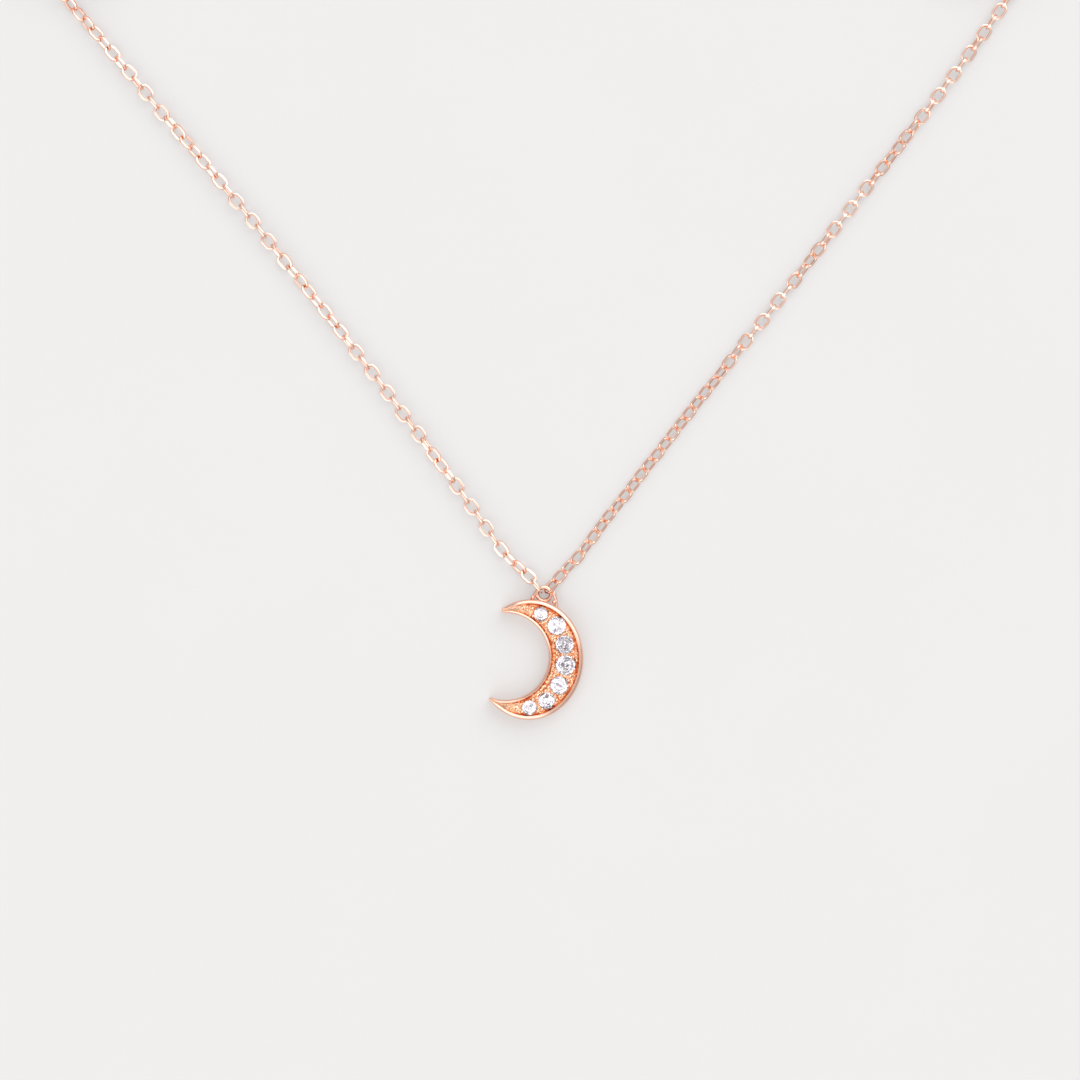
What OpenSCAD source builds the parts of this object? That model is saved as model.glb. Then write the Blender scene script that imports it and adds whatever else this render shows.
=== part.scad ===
/* [Crescent] */
// Half width of the outer oval, mm
outer_a = 4.454; // [4.40:0.01:4.50]
// Half height of the outer oval, mm
outer_b = 5.025; // [4.98:0.01:5.06]
// Lean of the outer oval, degrees
outer_lean = -4; // [-5:0.5:-3]
// Radius of the inner circle, mm
inner_r = 3.62; // [3.58:0.01:3.66]
// Thickness from the flat back to the top of the rims, mm
body_h = 1.5; // [1.45:0.05:1.6]
// Height of the sunk bed above the back, mm
bed_z = 1.12; // [1.08:0.02:1.16]
// Width of the outer rim, mm
rim_out = 0.38; // [0.34:0.01:0.42]
// Width of the inner rim, mm
rim_in = 0.26; // [0.22:0.01:0.30]

/* [Stones] */
// Height of the stones' girdles above the back, mm
girdle_z = 1.22; // [1.18:0.01:1.24]
// Table width as a share of the stone's diameter
table_k = 0.56; // [0.52:0.01:0.60]
// Clearance round a stone in its seat, mm
seat_gap = 0.02; // [0.01:0.01:0.03]
// Radius of a grain bead, mm
bead_r = 0.13; // [0.11:0.01:0.14]

/* [Hanging ring] */
// Radius to the middle of the wire, mm
eye_r = 0.57; // [0.56:0.01:0.60]
// Radius of the ring's wire, mm
eye_wire = 0.165; // [0.15:0.005:0.17]
// Height of the ring's wire above the back, mm
eye_z = 0.58; // [0.56:0.01:0.62]
// Direction of the left arm's last link, degrees from +X
left_dir = 127; // [125:1:131]
// Direction of the right arm's last link, degrees from +X
right_dir = 48; // [44:1:52]

/* [Chain] */
// Width of the chain, mm
chain_d = 1.1; // [1.0:0.05:1.1]
// Length of one link, mm
link_l = 1.50; // [1.48:0.01:1.56]
// Radius of the link's wire, mm
link_wire = 0.11; // [0.10:0.005:0.12]
// Outer turn of each coil, radius to the middle of the chain, mm
coil_r = 6.35; // [6.3:0.05:6.4]

/* [Clasp] */
// Radius to the middle of the hollow ring, mm
clasp_r = 2.25; // [2.2:0.05:2.3]
// Outer radius of the hollow ring's tube, mm
clasp_tube = 0.475; // [0.45:0.005:0.49]
// Radius of the tongue, mm
tongue_r = 0.29; // [0.28:0.005:0.295]
// Running clearance round the tongue, mm
tongue_gap = 0.04; // [0.03:0.005:0.05]
// Radius to the middle of the catch ring's wire, mm
catch_r = 1.25; // [1.2:0.05:1.35]

/* [Hidden] */

gold = [0.90, 0.62, 0.49];
gold_dark = [0.80, 0.50, 0.36];
white = [0.94, 0.96, 0.98];

// crescent: centre of the outer oval and of the inner circle
outer_c = [-0.558, -0.575];
inner_c = [-2.625, -0.325];
tip_hi = 121.5;
tip_lo = -133.5;

// stones from the upper tip to the lower tip: x, y, diameter
stones = [[0.35, 3.22, 1.20], [1.68, 2.24, 1.57], [2.34, 0.66, 1.57], [2.41, -1.03, 1.70],
          [1.88, -2.73, 1.53], [0.83, -4.00, 1.43], [-0.60, -4.58, 1.24]];
// distance of the beads from the line of the stones, one for each space between stones
bead_off = [0.54, 0.635, 0.70, 0.645, 0.61, 0.53];
// beads towards the tips
tip_beads = [[-0.34, 3.72], [-0.30, 3.06], [-0.78, 3.80], [-1.22, 3.72],
             [-1.30, -4.28], [-1.22, -4.90], [-1.68, -4.78], [-2.14, -4.66]];

eye_c = [0.62, 4.88];
left_hook = eye_c + eye_r * [cos(137), sin(137)];
right_hook = eye_c + eye_r * [cos(47), sin(47)];
// roll of the right end link about its length, away from standing on edge
right_roll = 38;

// routes of the two arms, on the surface; the last point is where the coil begins
left_pts = [[-0.46, 6.14], [-1.50, 7.1], [-2.5, 8.1], [-3.9, 10], [-7.5, 15], [-11.2, 20],
            [-15, 25], [-18.9, 30], [-22.9, 35], [-27, 40], [-31.2, 45], [-35.4, 50],
            [-39.1, 54.4], [-42.1, 58]];
right_pts = [[1.74, 6.11], [2.62, 7.1], [3.45, 8], [4.95, 10], [8.85, 15], [12.75, 20],
             [16.7, 25], [20.7, 30], [24.6, 35], [28.5, 40], [32.4, 45], [36.1, 50],
             [39.2, 54.4], [42.1, 58.6]];
chain_z = chain_d / 2;

function unit(v) = v / norm(v);
function at(c, r, a) = c + r * [cos(a), sin(a)];
function side(v) = [v.y, -v.x];
left_in = unit(left_pts[13] - left_pts[12]);
right_in = unit(right_pts[13] - right_pts[12]);
left_coil_c = left_pts[13] + coil_r * side(left_in);
right_coil_c = right_pts[13] - coil_r * side(right_in);
// where each tail leaves its coil, and its heading
left_off = at(left_coil_c, coil_r, 60);
right_off = at(right_coil_c, coil_r, 120);
left_head = -30;
right_head = 210;
tail_l = 6.2;
left_end = at(left_off, tail_l, left_head);
right_end = at(right_off, tail_l, right_head);

// along the heading from the tail's end
ring_wire = 0.20;
jump_r = 0.95;
jump_z = 0.585;
loop_r = 0.72;
loop_wire = 0.16;
s_hook = link_l - link_wire - (link_wire + ring_wire + 0.03);
s_jump = s_hook + jump_r;
s_swing = s_hook + 2 * jump_r;
s_loop = s_swing + 0.10;
s_clasp = s_loop + clasp_r + clasp_tube + 0.661;
catch_wire = 0.25;
s_catch = link_l - link_wire - (link_wire + catch_wire + 0.03);
catch_tilt = asin(0.28 / (2 * catch_r));
clasp_z = clasp_tube;
bore_r = tongue_r + tongue_gap;

// one point of the outer oval, shrunk by k
function oval(t, k = 0) = let (u = (outer_a - k) * cos(t), v = (outer_b - k) * sin(t))
    outer_c + [u * cos(outer_lean) - v * sin(outer_lean), u * sin(outer_lean) + v * cos(outer_lean)];
function inner_near(p) = inner_c + inner_r * unit(p - inner_c);

module crescent_2d() {
    difference() {
        polygon([for (i = [0:78]) oval(tip_lo + i * (tip_hi - tip_lo) / 78)]);
        translate(inner_c) circle(r = inner_r, $fn = 96);
    }
}

module tip_cap(t) {
    p = oval(t);
    q = inner_near(p);
    translate((p + q) / 2) cylinder(r = norm(p - q) / 2, h = body_h, $fn = 32);
}

module bed_2d() {
    difference() {
        polygon([for (i = [0:95]) oval(i * 3.75, rim_out)]);
        translate(inner_c) circle(r = inner_r + rim_in, $fn = 96);
    }
}

// round brilliant: pavilion cone, thin girdle, crown
module brilliant(d, g = 0) {
    r = d / 2 + g;
    rotate_extrude($fn = 48)
        polygon([[0, -0.43 * d - g], [r, -0.01 * d], [r, 0.01 * d],
                 [table_k * d / 2, 0.155 * d], [0, 0.155 * d]]);
}

module seat(s) {
    translate([s.x, s.y, girdle_z]) {
        rotate_extrude($fn = 48)
            polygon([[0, -0.43 * s.z - 2 * seat_gap], [s.z / 2 + seat_gap, -0.01 * s.z],
                     [s.z / 2 + seat_gap, 2], [0, 2]]);
        translate([0, 0, -3]) cylinder(r = 0.22 * s.z, h = 3 - 0.15 * s.z, $fn = 32);
    }
}

module moon_setting() {
    color(gold) difference() {
        union() {
            linear_extrude(body_h) crescent_2d();
            tip_cap(tip_hi);
            tip_cap(tip_lo);
        }
        translate([0, 0, bed_z]) linear_extrude(2) bed_2d();
        for (s = stones) seat(s);
    }
}

module stone(i) {
    s = stones[i];
    color(white) translate([s.x, s.y, girdle_z]) brilliant(s.z);
}

function gap_mid(i) = let (a = stones[i], b = stones[i + 1], p = [a.x, a.y], q = [b.x, b.y],
        g = norm(q - p) - a.z / 2 - b.z / 2)
    p + unit(q - p) * (a.z / 2 + g / 2);
function gap_dir(i) = unit([stones[i + 1].x - stones[i].x, stones[i + 1].y - stones[i].y]);

module bead(p) translate([p.x, p.y, bed_z + 0.07]) sphere(r = bead_r, $fn = 24);

module grain_beads() {
    color(gold) {
        for (i = [0:5], n = [-1, 1], u = [-1, 1])
            bead(gap_mid(i) + n * bead_off[i] * side(gap_dir(i)) + u * 0.19 * gap_dir(i));
        for (p = tip_beads) bead(p);
    }
}

module torus(r, w) rotate_extrude($fn = 64) translate([r, 0]) circle(r = w, $fn = 24);

module arc_tube(r, w, a0, a1)
    rotate([0, 0, a0]) rotate_extrude(angle = a1 - a0, $fn = 96) translate([r, 0]) circle(r = w, $fn = 32);

module hanging_ring() color(gold) translate([eye_c.x, eye_c.y, eye_z]) torus(eye_r, eye_wire);

// a straight wire in the plane of the ring from p to q
module wire(p, q, r, z) {
    v = q - p;
    translate([p.x, p.y, z]) rotate([0, 0, atan2(v.y, v.x)]) rotate([0, 90, 0])
        cylinder(r = r, h = norm(v), $fn = 24);
}

module ring_shoulders() color(gold) {
    wire([-0.44, 4.30], [0.06, 5.16], 0.14, eye_z);
    translate([0.06, 5.16, eye_z]) sphere(r = 0.16, $fn = 24);
    translate([-0.34, 4.58, eye_z + 0.12]) sphere(r = 0.18, $fn = 24);
    wire([1.66, 3.74], [1.44, 5.04], 0.14, eye_z);
    translate([1.44, 5.04, eye_z]) sphere(r = 0.16, $fn = 24);
    translate([1.46, 4.20, eye_z + 0.12]) sphere(r = 0.18, $fn = 24);
}

// one chain link standing on edge, lying along +X with its near end at the origin
module edge_link() {
    m = (chain_d - 2 * link_wire) / 2;
    l = link_l - 2 * link_wire;
    translate([link_wire, 0, 0]) rotate([90, 0, 0]) {
        translate([m, 0, 0]) rotate([0, 0, 90]) rotate_extrude(angle = 180, $fn = 64)
            translate([m, 0]) circle(r = link_wire, $fn = 24);
        translate([l - m, 0, 0]) rotate([0, 0, -90]) rotate_extrude(angle = 180, $fn = 64)
            translate([m, 0]) circle(r = link_wire, $fn = 24);
        for (s = [-1, 1]) translate([m, s * m, 0]) rotate([0, 90, 0])
            cylinder(r = link_wire, h = l - 2 * m, $fn = 24);
    }
}

// the wire of the end link bears on the ring's wire, with a small clearance
end_grip = link_wire + eye_wire + 0.02;
module hooked_link(h, dir, roll)
    translate([h.x, h.y, eye_z]) rotate([0, 0, dir]) rotate([roll, 0, 0])
        translate([-link_wire - end_grip, 0, 0]) edge_link();

module left_end_link() color(gold) hooked_link(left_hook, left_dir, 0);
module right_end_link() color(gold) hooked_link(right_hook, right_dir, right_roll);

// smooth curve through the points, n steps to each span
function spline(p, n) = let (m = len(p) - 1) concat(
    [for (i = [0:m - 1], k = [0:n - 1]) let (
        t = k / n, b = p[i], c = p[i + 1],
        a = i == 0 ? 2 * b - c : p[i - 1], d = i == m - 1 ? 2 * c - b : p[i + 2])
        0.5 * (2 * b + (c - a) * t + (2 * a - 5 * b + 4 * c - d) * t * t
               + (3 * b - a - 3 * c + d) * t * t * t)],
    [p[m]]);

// eight-sided tube along points in space
module sweep(p) {
    n = len(p);
    r = chain_d / 2;
    pts = [for (i = [0:n - 1]) let (
        t = unit(p[min(i + 1, n - 1)] - p[max(i - 1, 0)]),
        s = unit(cross(t, [0, 0, 1])), u = cross(s, t))
        for (k = [0:7]) p[i] + r * (cos(22.5 + 45 * k) * s + sin(22.5 + 45 * k) * u)];
    polyhedron(pts, concat(
        [[for (k = [0:7]) k]],
        [for (i = [0:n - 2], k = [0:7]) [i * 8 + k, (i + 1) * 8 + k,
            (i + 1) * 8 + (k + 1) % 8, i * 8 + (k + 1) % 8]],
        [[for (k = [7:-1:0]) (n - 1) * 8 + k]]), convexity = 4);
}

module arm(p) color(gold) sweep([for (q = spline(p, 2)) [q.x, q.y, chain_z]]);
module chain_left() arm(left_pts);
module chain_right() arm(right_pts);

// two layers of two turns, the turns side by side
module coil(c) color(gold_dark) translate([c.x, c.y, 0]) rotate_extrude($fn = 96)
    translate([coil_r - 1.5 * chain_d, 0]) square([2 * chain_d, 2 * chain_d]);
module chain_left_coil() coil(left_coil_c);
module chain_right_coil() coil(right_coil_c);

// from the upper layer of the coil down to the surface
tail_s = [0, 0.8, 1.8, 2.8, 3.8, 6.2];
tail_z = [1.65, 1.6, 1.25, 0.8, 0.58, 0.55];
module tail(p, a) color(gold)
    sweep([for (i = [0:5]) let (q = at(p, tail_s[i], a)) [q.x, q.y, tail_z[i]]]);
module chain_left_tail() tail(left_off, left_head);
module chain_right_tail() tail(right_off, right_head);

module on_left(s) {
    p = at(left_end, s, left_head);
    translate([p.x, p.y, 0]) rotate([0, 0, left_head]) children();
}
module on_right(s) {
    p = at(right_end, s, right_head);
    translate([p.x, p.y, 0]) rotate([0, 0, right_head]) children();
}

module left_tail_link() color(gold) on_left(0) translate([0, 0, chain_z]) edge_link();
module right_tail_link() color(gold) on_right(0) translate([0, 0, chain_z]) edge_link();

module clasp_jump_ring() color(gold) on_left(s_jump) translate([0, 0, jump_z]) torus(jump_r, ring_wire);

module clasp_tail_loop() color(gold) on_left(s_loop)
    translate([0, 0, loop_r + loop_wire]) rotate([90, 0, 0]) torus(loop_r, loop_wire);

module clasp_body() color(gold) on_left(s_clasp) translate([0, 0, clasp_z]) difference() {
    arc_tube(clasp_r, clasp_tube, 75, 380);
    arc_tube(clasp_r, bore_r, 74, 342);
    arc_tube(clasp_r, bore_r, 352, 381);
    rotate([0, 0, 84]) rotate_extrude(angle = 68, $fn = 96)
        translate([clasp_r - 0.17, 0]) square([0.34, 1]);
}

module clasp_tongue() color(gold_dark) on_left(s_clasp) translate([0, 0, clasp_z])
    arc_tube(clasp_r, tongue_r, 10, 160);

module clasp_thumb_tab() color(gold) on_left(s_clasp) translate([0, 0, clasp_z]) rotate([0, 0, 90])
    translate([clasp_r, 0, 0]) {
        cylinder(r = 0.13, h = 0.60, $fn = 24);
        translate([0, 0, 0.54]) cylinder(r = 0.34, h = 0.24, $fn = 32);
    }

// shown pressed together, the length it has when the tongue is fully back
module clasp_spring() color(gold_dark) on_left(s_clasp) translate([0, 0, clasp_z]) difference() {
    arc_tube(clasp_r, bore_r - 0.03, 222, 341);
    arc_tube(clasp_r, bore_r - 0.13, 221, 342);
}

module catch_ring() color(gold) on_right(s_catch) translate([0, 0, 0.28 + catch_wire])
    rotate([0, catch_tilt, 0]) translate([catch_r, 0, 0]) torus(catch_r, catch_wire);

moon_setting();
stone(0);  // stone_1
stone(1);  // stone_2
stone(2);  // stone_3
stone(3);  // stone_4
stone(4);  // stone_5
stone(5);  // stone_6
stone(6);  // stone_7
grain_beads();
hanging_ring();
ring_shoulders();
left_end_link();
right_end_link();
chain_left();
chain_right();
chain_left_coil();
chain_right_coil();
chain_left_tail();
chain_right_tail();
left_tail_link();
right_tail_link();
clasp_jump_ring();
clasp_tail_loop();
clasp_body();
clasp_tongue();
clasp_thumb_tab();
clasp_spring();
catch_ring();
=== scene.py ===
import math
import bpy, bmesh
import numpy as np
from mathutils import Vector, Matrix, noise


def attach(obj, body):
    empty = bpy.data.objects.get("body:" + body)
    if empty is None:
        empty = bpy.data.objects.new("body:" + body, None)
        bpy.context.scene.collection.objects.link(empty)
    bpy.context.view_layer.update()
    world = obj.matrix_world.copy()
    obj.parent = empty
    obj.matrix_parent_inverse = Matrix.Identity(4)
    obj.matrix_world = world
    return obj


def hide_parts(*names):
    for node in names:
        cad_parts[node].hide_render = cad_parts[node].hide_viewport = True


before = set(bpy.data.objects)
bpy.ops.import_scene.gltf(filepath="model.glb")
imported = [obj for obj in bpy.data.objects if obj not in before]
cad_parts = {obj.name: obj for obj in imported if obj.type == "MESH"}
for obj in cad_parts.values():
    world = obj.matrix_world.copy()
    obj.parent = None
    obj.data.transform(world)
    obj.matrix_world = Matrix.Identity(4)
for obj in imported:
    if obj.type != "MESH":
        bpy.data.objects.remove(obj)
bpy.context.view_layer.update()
MM = 0.001
PI = math.pi


def cosd(a): return math.cos(math.radians(a))
def sind(a): return math.sin(math.radians(a))
def lerp(a, b, t): return a + (b - a) * t
def smooth(t):
    t = min(1.0, max(0.0, t))
    return t * t * (3 - 2 * t)


# ------------------------------------------------------------------ camera
scene = bpy.context.scene
cam_data = bpy.data.cameras.new("view_camera")
cam_data.sensor_width = 36
cam_data.lens = 160
cam_data.clip_start = 0.004
cam_data.clip_end = 30
cam = bpy.data.objects.new("view_camera", cam_data)
cam.location = (0.000283, 0.009383, 0.4008)
cam.rotation_euler = (0, 0, 0)
scene.collection.objects.link(cam)
scene.camera = cam

# ------------------------------------------------------------------ helpers
def new_object(name, verts, faces, mats=(), smooth_shade=True, face_mats=None, sharp=None):
    me = bpy.data.meshes.new(name)
    me.from_pydata([tuple(float(c) * MM for c in v) for v in verts], [], [tuple(int(i) for i in f) for f in faces])
    me.validate()
    for m in mats:
        me.materials.append(m)
    if face_mats is not None:
        me.polygons.foreach_set("material_index", face_mats)
    me.polygons.foreach_set("use_smooth", [smooth_shade] * len(me.polygons))
    me.update()
    if smooth_shade and sharp is not None:
        me.set_sharp_from_angle(angle=math.radians(sharp))
    ob = bpy.data.objects.new(name, me)
    scene.collection.objects.link(ob)
    return ob


def apply_all(ob):
    dg = bpy.context.evaluated_depsgraph_get()
    me = bpy.data.meshes.new_from_object(ob.evaluated_get(dg))
    old = ob.data
    ob.modifiers.clear()
    ob.data = me
    bpy.data.meshes.remove(old)


# ------------------------------------------------------------------ chain routes, mm
CHAIN_D = 1.1
CZ = CHAIN_D / 2
COIL_R = 6.35
LINK_L, LINK_W = 1.50, 0.11
LEFT = [(-0.46, 6.14), (-1.50, 7.1), (-2.5, 8.1), (-3.9, 10), (-7.5, 15), (-11.2, 20),
        (-15, 25), (-18.9, 30), (-22.9, 35), (-27, 40), (-31.2, 45), (-35.4, 50),
        (-39.1, 54.4), (-42.1, 58)]
RIGHT = [(1.74, 6.11), (2.62, 7.1), (3.45, 8), (4.95, 10), (8.85, 15), (12.75, 20),
         (16.7, 25), (20.7, 30), (24.6, 35), (28.5, 40), (32.4, 45), (36.1, 50),
         (39.2, 54.4), (42.1, 58.6)]
EYE = (0.62, 4.88, 0.58)
EYE_R, EYE_W = 0.57, 0.165
TAIL_L = 6.2
TAIL_S = [0, 0.8, 1.8, 2.8, 3.8, 6.2]
TAIL_Z = [1.65, 1.6, 1.25, 0.8, 0.58, 0.55]


def spline2(p, n):
    out = []
    m = len(p) - 1
    P = [np.array(q, float) for q in p]
    for i in range(m):
        b, c = P[i], P[i + 1]
        a = 2 * b - c if i == 0 else P[i - 1]
        d = 2 * c - b if i == m - 1 else P[i + 2]
        for k in range(n):
            t = k / n
            out.append(0.5 * (2 * b + (c - a) * t + (2 * a - 5 * b + 4 * c - d) * t * t
                              + (3 * b - a - 3 * c + d) * t ** 3))
    out.append(P[m])
    return out


def arm_path(pts, sense, exit_angle, head, n_arm, per_turn):
    """points of one arm, mm: along the surface, round the coil, down to its fitting"""
    out = [(q[0], q[1], CZ) for q in spline2(pts, n_arm)]
    e = np.array(pts[-1], float)
    d = e - np.array(pts[-2], float)
    d /= np.linalg.norm(d)
    n = np.array([d[1], -d[0]]) * (1 if sense < 0 else -1)
    c = e + COIL_R * n
    a0 = math.degrees(math.atan2(-n[1], -n[0]))
    span = (sense * (exit_angle - a0)) % 360 + 3 * 360
    steps = int(per_turn * span / 360)
    for i in range(1, steps + 1):
        th = span * i / steps
        r, z = COIL_R, CZ
        step = CHAIN_D
        if th < 660:
            r = COIL_R - step * smooth((th - 300) / 60)
        elif th < 1020:
            r = COIL_R - step
        else:
            r = COIL_R - step * (1 - smooth((th - 1020) / 60))
        z = CZ + CHAIN_D * smooth((th - 636) / 70)
        a = a0 + sense * th
        out.append((c[0] + r * cosd(a), c[1] + r * sind(a), z))
    off = np.array([c[0] + COIL_R * cosd(exit_angle), c[1] + COIL_R * sind(exit_angle)])
    h = np.array([cosd(head), sind(head)])
    m = max(1, n_arm // 2)
    ss = list(np.linspace(0, TAIL_L, 6 * m + 1))[1:]
    for s in ss:
        q = off + s * h
        out.append((q[0], q[1], float(np.interp(s, TAIL_S, TAIL_Z))))
    return [np.array(p, float) for p in out], c, off + TAIL_L * h


def measure(points):
    P = np.array(points)
    seg = np.linalg.norm(P[1:] - P[:-1], axis=1)
    return P, np.concatenate([[0], np.cumsum(seg)])


def station(P, S, s):
    s = min(max(s, 0.0), S[-1])
    i = int(np.searchsorted(S, s, side="right") - 1)
    i = min(max(i, 0), len(P) - 2)
    t = (s - S[i]) / max(S[i + 1] - S[i], 1e-9)
    return P[i] + (P[i + 1] - P[i]) * t


# ------------------------------------------------------------------ materials
def material(name):
    m = bpy.data.materials.new(name)
    m.use_nodes = True
    nt = m.node_tree
    b = nt.nodes.get("Principled BSDF")
    return m, nt, b


def link_nodes(nt, a, ao, b, bi):
    nt.links.new(a.outputs[ao], b.inputs[bi])


def noise_tex(nt, scale, detail=3.0, rough=0.5):
    tc = nt.nodes.new("ShaderNodeTexCoord")
    n = nt.nodes.new("ShaderNodeTexNoise")
    n.inputs["Scale"].default_value = scale
    n.inputs["Detail"].default_value = detail
    n.inputs["Roughness"].default_value = rough
    nt.links.new(tc.outputs["Object"], n.inputs["Vector"])
    return n


def gold(name, base, edge, rough_lo, rough_hi, scale=900.0, bump=0.0, bump_scale=4000.0):
    """polished alloy: colour drifts slightly between two tones, roughness varies with fine wear"""
    m, nt, b = material(name)
    b.inputs["Metallic"].default_value = 1.0
    b.inputs["IOR"].default_value = 1.5
    n = noise_tex(nt, scale, 4.0, 0.6)
    cr = nt.nodes.new("ShaderNodeValToRGB")
    cr.color_ramp.elements[0].position = 0.35
    cr.color_ramp.elements[1].position = 0.68
    cr.color_ramp.elements[0].color = (*base, 1)
    cr.color_ramp.elements[1].color = (*edge, 1)
    nt.links.new(n.outputs["Fac"], cr.inputs["Fac"])
    nt.links.new(cr.outputs["Color"], b.inputs["Base Color"])
    n2 = noise_tex(nt, scale * 3.1, 5.0, 0.65)
    mr = nt.nodes.new("ShaderNodeMapRange")
    mr.inputs["From Min"].default_value = 0.3
    mr.inputs["From Max"].default_value = 0.7
    mr.inputs["To Min"].default_value = rough_lo
    mr.inputs["To Max"].default_value = rough_hi
    nt.links.new(n2.outputs["Fac"], mr.inputs["Value"])
    nt.links.new(mr.outputs["Result"], b.inputs["Roughness"])
    if bump:
        n3 = noise_tex(nt, bump_scale, 3.0, 0.55)
        bp = nt.nodes.new("ShaderNodeBump")
        bp.inputs["Strength"].default_value = bump
        bp.inputs["Distance"].default_value = 0.00003
        nt.links.new(n3.outputs["Fac"], bp.inputs["Height"])
        nt.links.new(bp.outputs["Normal"], b.inputs["Normal"])
    return m


M_RIM = gold("rose_gold_polished", (0.88, 0.53, 0.41), (0.92, 0.60, 0.48), 0.05, 0.11, 500, 0.06, 2500)
# painted shade: a darker copy of the rim gold for the steep edges and walls, drawing the brown outline that contact
# shadow would give
M_SIDE_PAINTED_SHADE = gold("rose_gold_side_painted_shade", (0.80, 0.42, 0.29), (0.85, 0.49, 0.36), 0.08, 0.18, 600, 0.10, 3000)
# painted shade: the sunk bed gets a deeper, darker orange standing in for light bounced between its walls; its bump is
# the real cut texture
M_BED_PAINTED_SHADE = gold("rose_gold_cut_bed_painted_shade", (0.78, 0.43, 0.26), (0.86, 0.56, 0.40), 0.06, 0.20, 1800, 0.45, 7000)
M_BEAD = gold("rose_gold_grain", (0.95, 0.60, 0.42), (0.97, 0.66, 0.50), 0.06, 0.14, 900, 0.10, 5000)
M_BACK = gold("rose_gold_back", (0.92, 0.56, 0.41), (0.95, 0.61, 0.46), 0.12, 0.26, 700, 0.25, 3500)
M_CHAIN = gold("chain_rose_gold", (0.935, 0.605, 0.485), (0.965, 0.685, 0.575), 0.04, 0.12, 700, 0.08, 5000)
# painted shade: a deeper, darker orange on the inner side of each link's bends, where links meet, standing in for light
# bounced between the wires
M_CHAIN_JOINT_SHADE = gold("chain_rose_gold_inside", (0.84, 0.38, 0.19), (0.90, 0.46, 0.27), 0.08, 0.20, 700, 0.10, 5000)
# painted shade: a near-black brown on the inside of the hanging ring, standing in for the deep shadow in its eye
M_RING_PAINTED_SHADE = gold("ring_rose_gold_painted_shade", (0.50, 0.17, 0.07), (0.60, 0.24, 0.11), 0.10, 0.24, 700, 0.10, 5000)
M_CLASP = gold("clasp_rose_gold", (0.93, 0.56, 0.41), (0.96, 0.62, 0.47), 0.07, 0.15, 500, 0.10, 3000)
M_TONGUE = gold("clasp_tongue_rose_gold", (0.90, 0.53, 0.38), (0.94, 0.60, 0.45), 0.12, 0.24, 600, 0.20, 3500)


def stone_material():
    """clear crown of a white brilliant"""
    m, nt, b = material("white_brilliant")
    b.inputs["Roughness"].default_value = 0.0
    b.inputs["IOR"].default_value = 1.9
    b.inputs["Transmission Weight"].default_value = 1.0
    n = noise_tex(nt, 350, 2.0, 0.5)
    cr = nt.nodes.new("ShaderNodeValToRGB")
    cr.color_ramp.elements[0].color = (0.965, 0.97, 0.985, 1)
    cr.color_ramp.elements[1].color = (1.0, 1.0, 1.0, 1)
    nt.links.new(n.outputs["Fac"], cr.inputs["Fac"])
    nt.links.new(cr.outputs["Color"], b.inputs["Base Color"])
    return m


def pavilion_material():
    """the lower facets of a brilliant: small bright and grey patches painted into the colour as painted reflections,
    with a faint painted glow
    """
    m, nt, b = material("brilliant_pavilion")
    b.inputs["Metallic"].default_value = 1.0
    b.inputs["Roughness"].default_value = 0.03
    tc = nt.nodes.new("ShaderNodeTexCoord")
    v = nt.nodes.new("ShaderNodeTexVoronoi")
    v.inputs["Scale"].default_value = 3900
    nt.links.new(tc.outputs["Object"], v.inputs["Vector"])
    sep = nt.nodes.new("ShaderNodeSeparateColor")
    nt.links.new(v.outputs["Color"], sep.inputs["Color"])
    cr = nt.nodes.new("ShaderNodeValToRGB")
    cr.color_ramp.interpolation = "CONSTANT"
    els = cr.color_ramp.elements
    els[0].position, els[0].color = 0.0, (0.22, 0.20, 0.22, 1)
    els[1].position, els[1].color = 0.13, (0.52, 0.49, 0.53, 1)
    e = els.new(0.30)
    e.color = (0.80, 0.77, 0.82, 1)
    e = els.new(0.50)
    e.color = (0.99, 0.98, 1.0, 1)
    nt.links.new(sep.outputs["Red"], cr.inputs["Fac"])
    nt.links.new(cr.outputs["Color"], b.inputs["Base Color"])
    nt.links.new(cr.outputs["Color"], b.inputs["Emission Color"])
    # painted glow: the patches also emit faintly, though there is no lamp here
    b.inputs["Emission Strength"].default_value = 0.135
    return m


M_STONE = stone_material()
M_PAV_PAINTED_SPARKLE = pavilion_material()


def spring_material():
    m, nt, b = material("spring_wire")
    b.inputs["Metallic"].default_value = 1.0
    n = noise_tex(nt, 2200, 4.0, 0.6)
    cr = nt.nodes.new("ShaderNodeValToRGB")
    cr.color_ramp.elements[0].color = (0.42, 0.42, 0.44, 1)
    cr.color_ramp.elements[1].color = (0.62, 0.62, 0.64, 1)
    nt.links.new(n.outputs["Fac"], cr.inputs["Fac"])
    nt.links.new(cr.outputs["Color"], b.inputs["Base Color"])
    b.inputs["Roughness"].default_value = 0.3
    return m


M_SPRING = spring_material()

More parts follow.
